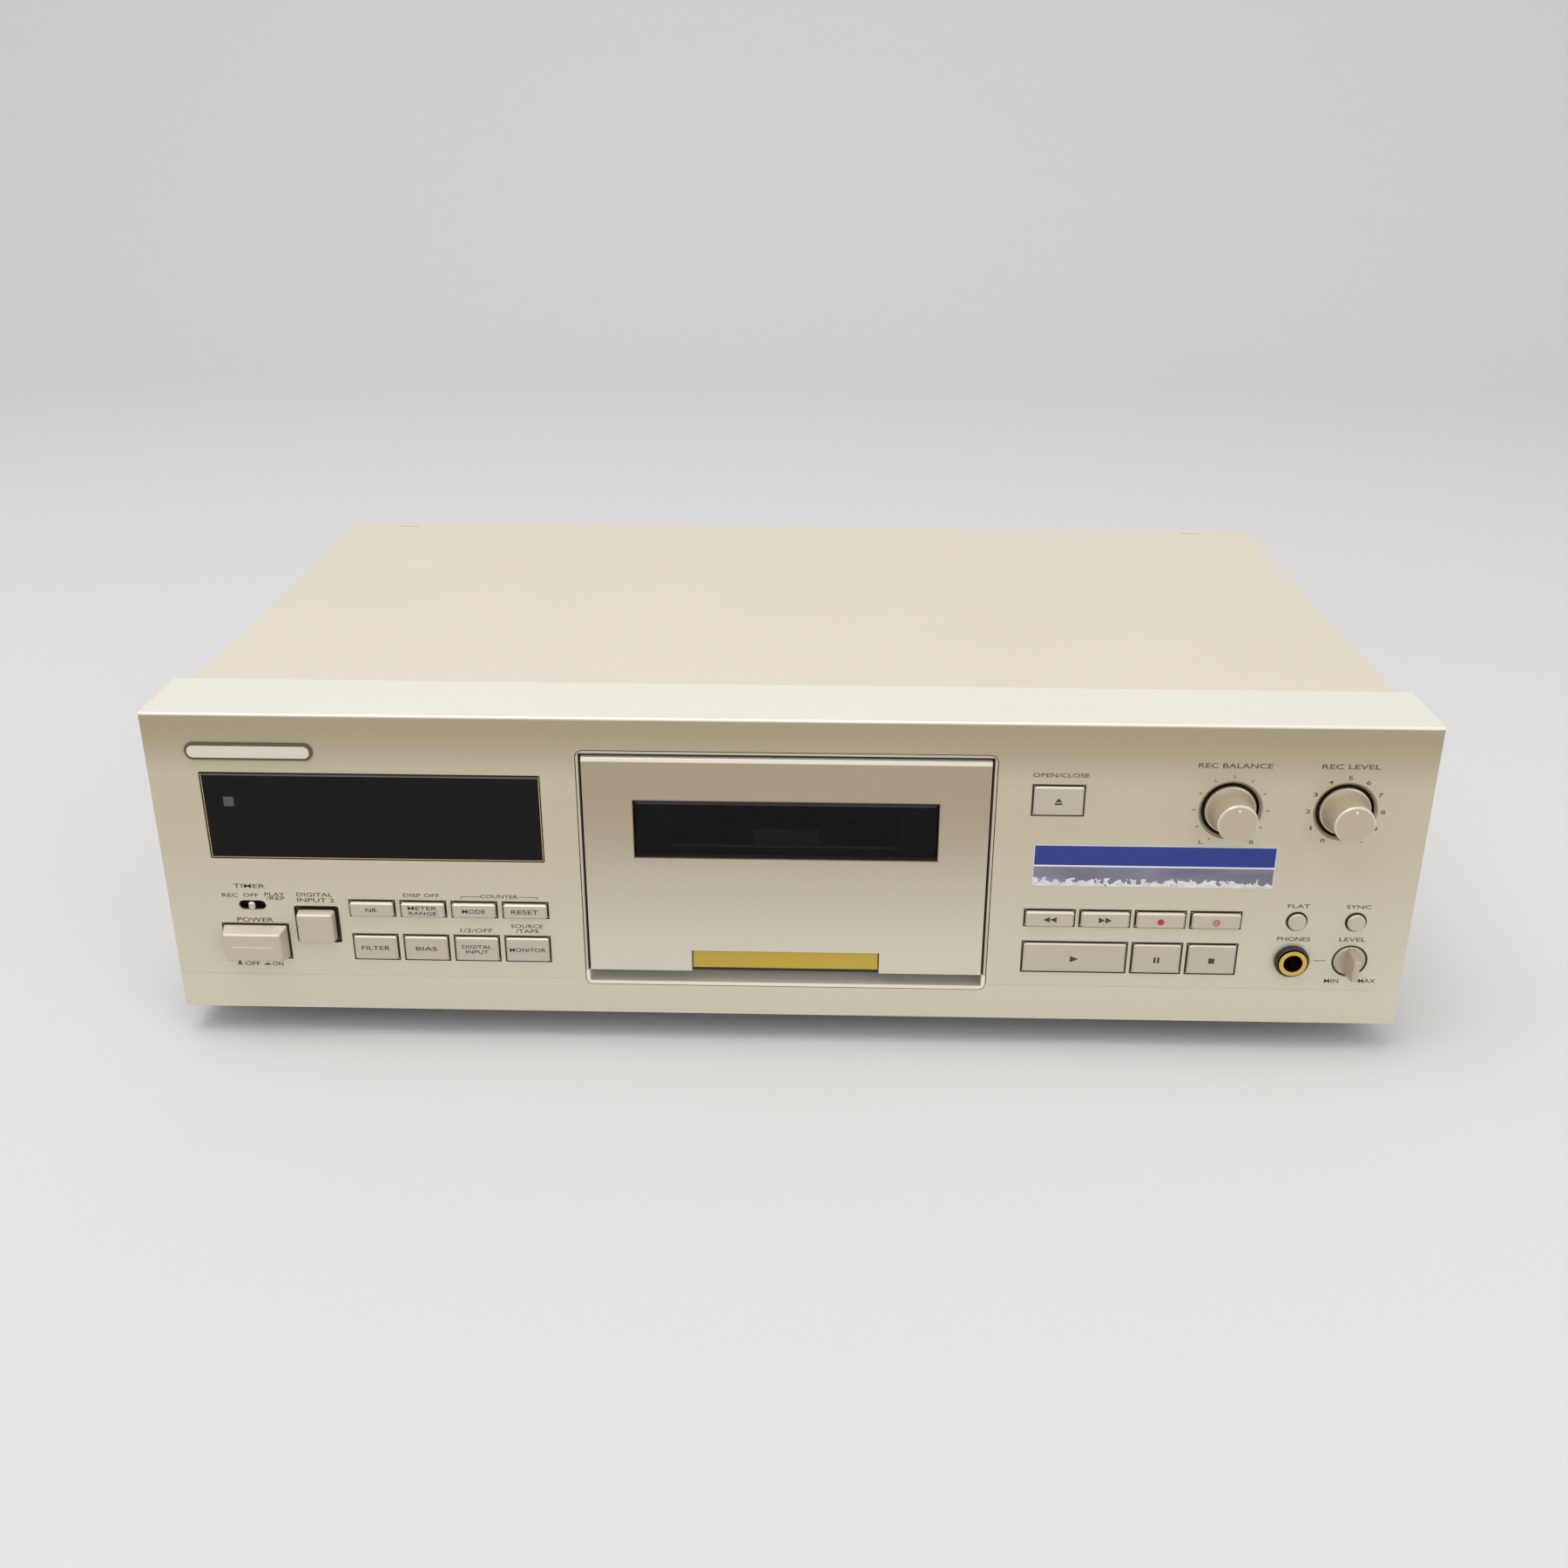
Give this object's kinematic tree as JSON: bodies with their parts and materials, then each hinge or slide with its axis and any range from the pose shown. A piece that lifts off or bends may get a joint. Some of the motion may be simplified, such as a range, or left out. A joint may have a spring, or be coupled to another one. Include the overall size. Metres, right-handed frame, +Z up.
{
  "type": "cassette deck",
  "caption": "Front-loading hi-fi cassette deck with smoked display, hinged cassette door, push keys, level knobs, headphone jack and the tape mechanism behind the door.",
  "frame": {"origin": "under the middle of the whole deck, on the surface that its feet stand on", "axes": "+Z up, +X to the right as seen from the front, +Y to the back"},
  "size_m": [0.42, 0.2648, 0.1206],
  "materials": {
    "fascia": "satin champagne finish",
    "trim": "satin champagne finish",
    "cover": "fine matt champagne paint",
    "key": "satin metallic paint",
    "bezel": "satin metallic paint",
    "black": "moulded black",
    "smoked": "clear dark smoked, polished",
    "gold": "gold plated or gold printed",
    "steel": "plated sheet and ground steel",
    "brass": "turned",
    "rubber": "matt",
    "board": "resin bonded paper",
    "iron": "varnished laminations"
  },
  "bodies": {
    "casing": {"ac_inlet": "black", "capstan_motor": "steel", "cassette_well": "bezel", "chassis_pan": "steel", "display_tube": "smoked", "display_window": "smoked", "drive_belt": "rubber", "flywheel_bracket": "steel", "foot_front_left": "black", "foot_front_right": "black", "foot_rear_left": "black", "foot_rear_right": "black", "front_board": "board", "front_panel": "fascia", "line_jacks": "black", "lower_trim": "trim", "main_board": "board", "mech_plate": "steel", "optical_socket": "black", "phones_jack": "gold", "phones_jack_nut": "black", "power_transformer": "iron", "rear_panel": "cover", "top_cover": "cover"},
    "door": {"door_panel": "trim", "door_window": "smoked", "door_strip": "gold", "cassette_holder": "black"},
    "power_button": {"power_button": "key"},
    "timer_switch": {"timer_switch": "key"},
    "digital_input_cap": {"digital_input_cap": "key"},
    "balance_knob": {"balance_knob": "key"},
    "record_level_knob": {"record_level_knob": "key"},
    "phones_level_knob": {"phones_level_knob": "key"},
    "reel_spindle_left": {"reel_spindle_left": "black"},
    "reel_spindle_right": {"reel_spindle_right": "black"},
    "capstan": {"capstan_flywheel": "steel"},
    "motor_pulley": {"motor_pulley": "brass"},
    "head_carriage": {"head_carriage": "steel"},
    "pinch_arm": {"pinch_arm": "steel"},
    "pinch_roller": {"pinch_roller": "rubber"},
    "noise_reduction_key": {"noise_reduction_key": "key"},
    "meter_range_key": {"meter_range_key": "key"},
    "counter_mode_key": {"counter_mode_key": "key"},
    "counter_reset_key": {"counter_reset_key": "key"},
    "digital_filter_key": {"digital_filter_key": "key"},
    "bias_key": {"bias_key": "key"},
    "digital_input_key": {"digital_input_key": "key"},
    "monitor_key": {"monitor_key": "key"},
    "open_close_key": {"open_close_key": "key"},
    "rewind_key": {"rewind_key": "key"},
    "fast_forward_key": {"fast_forward_key": "key"},
    "record_key": {"record_key": "key"},
    "record_mute_key": {"record_mute_key": "key"},
    "play_key": {"play_key": "key"},
    "pause_key": {"pause_key": "key"},
    "stop_key": {"stop_key": "key"},
    "flat_key": {"flat_key": "key"},
    "synchro_key": {"synchro_key": "key"}
  },
  "joints": [
    {"name": "door_hinge", "type": "hinge", "parent": "casing", "child": "door", "pos_m": [0, -0.1156, 0.03], "axis": [1, 0, 0], "range_deg": [0, 28]},
    {"name": "power_push", "type": "slide", "parent": "casing", "child": "power_button", "axis": [0, 1, 0], "range_m": [0, 0.003], "stiffness_N_per_m": 300},
    {"name": "timer_slide", "type": "slide", "parent": "casing", "child": "timer_switch", "axis": [1, 0, 0], "range_m": [-0.0025, 0.0025]},
    {"name": "cap_pull", "type": "slide", "parent": "casing", "child": "digital_input_cap", "axis": [0, -1, 0], "range_m": [0, 0.02]},
    {"name": "balance_turn", "type": "hinge", "parent": "casing", "child": "balance_knob", "pos_m": [0.14492, -0.1216, 0.091], "axis": [0, 1, 0], "range_deg": [-150, 150]},
    {"name": "record_level_turn", "type": "hinge", "parent": "casing", "child": "record_level_knob", "pos_m": [0.18209, -0.1216, 0.091], "axis": [0, 1, 0], "range_deg": [-150, 150]},
    {"name": "phones_level_turn", "type": "hinge", "parent": "casing", "child": "phones_level_knob", "pos_m": [0.1912, -0.1216, 0.03555], "axis": [0, 1, 0], "range_deg": [-150, 150]},
    {"name": "reel_left_spin", "type": "hinge", "parent": "casing", "child": "reel_spindle_left", "pos_m": [-0.02125, -0.1013, 0.078], "axis": [0, 1, 0], "continuous": true},
    {"name": "reel_right_spin", "type": "hinge", "parent": "casing", "child": "reel_spindle_right", "pos_m": [0.02125, -0.1013, 0.078], "axis": [0, 1, 0], "continuous": true},
    {"name": "capstan_spin", "type": "hinge", "parent": "casing", "child": "capstan", "pos_m": [0.024, -0.0912, 0.0495], "axis": [0, 1, 0], "continuous": true},
    {"name": "motor_spin", "type": "hinge", "parent": "casing", "child": "motor_pulley", "pos_m": [-0.03, -0.0912, 0.047], "axis": [0, 1, 0], "continuous": true},
    {"name": "head_lift", "type": "slide", "parent": "casing", "child": "head_carriage", "axis": [0, 0, 1], "range_m": [0, 0.006]},
    {"name": "pinch_swing", "type": "hinge", "parent": "casing", "child": "pinch_arm", "pos_m": [0.04197, -0.1041, 0.03899], "axis": [0, 1, 0], "range_deg": [0, 16]},
    {"name": "pinch_spin", "type": "hinge", "parent": "pinch_arm", "child": "pinch_roller", "pos_m": [0.02374, -0.1041, 0.03736], "axis": [0, 1, 0], "continuous": true},
    {"name": "noise_reduction_push", "type": "slide", "parent": "casing", "child": "noise_reduction_key", "axis": [0, 1, 0], "range_m": [0, 0.0009], "stiffness_N_per_m": 250},
    {"name": "meter_range_push", "type": "slide", "parent": "casing", "child": "meter_range_key", "axis": [0, 1, 0], "range_m": [0, 0.0009], "stiffness_N_per_m": 250},
    {"name": "counter_mode_push", "type": "slide", "parent": "casing", "child": "counter_mode_key", "axis": [0, 1, 0], "range_m": [0, 0.0009], "stiffness_N_per_m": 250},
    {"name": "counter_reset_push", "type": "slide", "parent": "casing", "child": "counter_reset_key", "axis": [0, 1, 0], "range_m": [0, 0.0009], "stiffness_N_per_m": 250},
    {"name": "digital_filter_push", "type": "slide", "parent": "casing", "child": "digital_filter_key", "axis": [0, 1, 0], "range_m": [0, 0.0009], "stiffness_N_per_m": 250},
    {"name": "bias_push", "type": "slide", "parent": "casing", "child": "bias_key", "axis": [0, 1, 0], "range_m": [0, 0.0009], "stiffness_N_per_m": 250},
    {"name": "digital_input_push", "type": "slide", "parent": "casing", "child": "digital_input_key", "axis": [0, 1, 0], "range_m": [0, 0.0009], "stiffness_N_per_m": 250},
    {"name": "monitor_push", "type": "slide", "parent": "casing", "child": "monitor_key", "axis": [0, 1, 0], "range_m": [0, 0.0009], "stiffness_N_per_m": 250},
    {"name": "open_close_push", "type": "slide", "parent": "casing", "child": "open_close_key", "axis": [0, 1, 0], "range_m": [0, 0.0009], "stiffness_N_per_m": 250},
    {"name": "rewind_push", "type": "slide", "parent": "casing", "child": "rewind_key", "axis": [0, 1, 0], "range_m": [0, 0.0009], "stiffness_N_per_m": 250},
    {"name": "fast_forward_push", "type": "slide", "parent": "casing", "child": "fast_forward_key", "axis": [0, 1, 0], "range_m": [0, 0.0009], "stiffness_N_per_m": 250},
    {"name": "record_push", "type": "slide", "parent": "casing", "child": "record_key", "axis": [0, 1, 0], "range_m": [0, 0.0009], "stiffness_N_per_m": 250},
    {"name": "record_mute_push", "type": "slide", "parent": "casing", "child": "record_mute_key", "axis": [0, 1, 0], "range_m": [0, 0.0009], "stiffness_N_per_m": 250},
    {"name": "play_push", "type": "slide", "parent": "casing", "child": "play_key", "axis": [0, 1, 0], "range_m": [0, 0.0009], "stiffness_N_per_m": 250},
    {"name": "pause_push", "type": "slide", "parent": "casing", "child": "pause_key", "axis": [0, 1, 0], "range_m": [0, 0.0009], "stiffness_N_per_m": 250},
    {"name": "stop_push", "type": "slide", "parent": "casing", "child": "stop_key", "axis": [0, 1, 0], "range_m": [0, 0.0009], "stiffness_N_per_m": 250},
    {"name": "flat_push", "type": "slide", "parent": "casing", "child": "flat_key", "axis": [0, 1, 0], "range_m": [0, 0.0009], "stiffness_N_per_m": 250},
    {"name": "synchro_push", "type": "slide", "parent": "casing", "child": "synchro_key", "axis": [0, 1, 0], "range_m": [0, 0.0009], "stiffness_N_per_m": 250}
  ],
  "couplings": [
    {"joint": "motor_spin", "follows": "capstan_spin", "ratio": 6},
    {"joint": "pinch_swing", "follows": "head_lift", "rad_per_m": 46.54}
  ]
}
